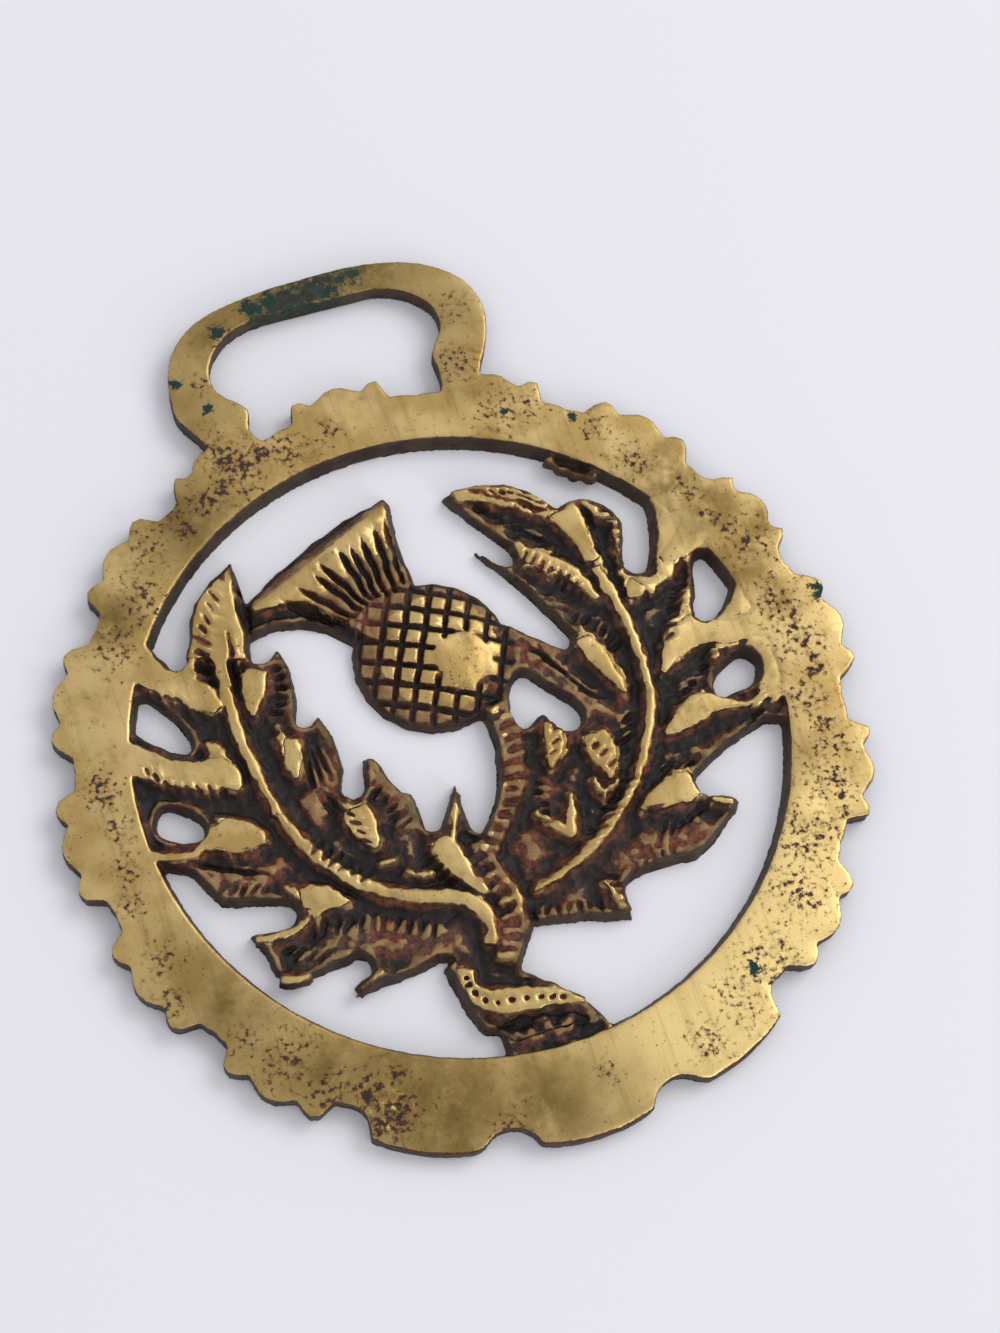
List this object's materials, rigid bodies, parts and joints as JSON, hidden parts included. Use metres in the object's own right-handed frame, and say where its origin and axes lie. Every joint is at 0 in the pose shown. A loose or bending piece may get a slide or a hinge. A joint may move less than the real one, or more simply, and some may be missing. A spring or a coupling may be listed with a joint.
{
  "type": "horse brass",
  "caption": "Flat pierced horse brass: a scalloped ring with a strap loop, and a thistle between two cut leaves.",
  "frame": {"origin": "middle of the whole outline, on the flat back", "axes": "+Z out of the worn front, +Y from the foot of the ring to the strap loop, +X to the right of the front"},
  "size_m": [0.0768, 0.09, 0.0025],
  "materials": {
    "worn_brass": "satin"
  },
  "bodies": {
    "root": {"horse_brass": "worn_brass"}
  },
  "joints": []
}
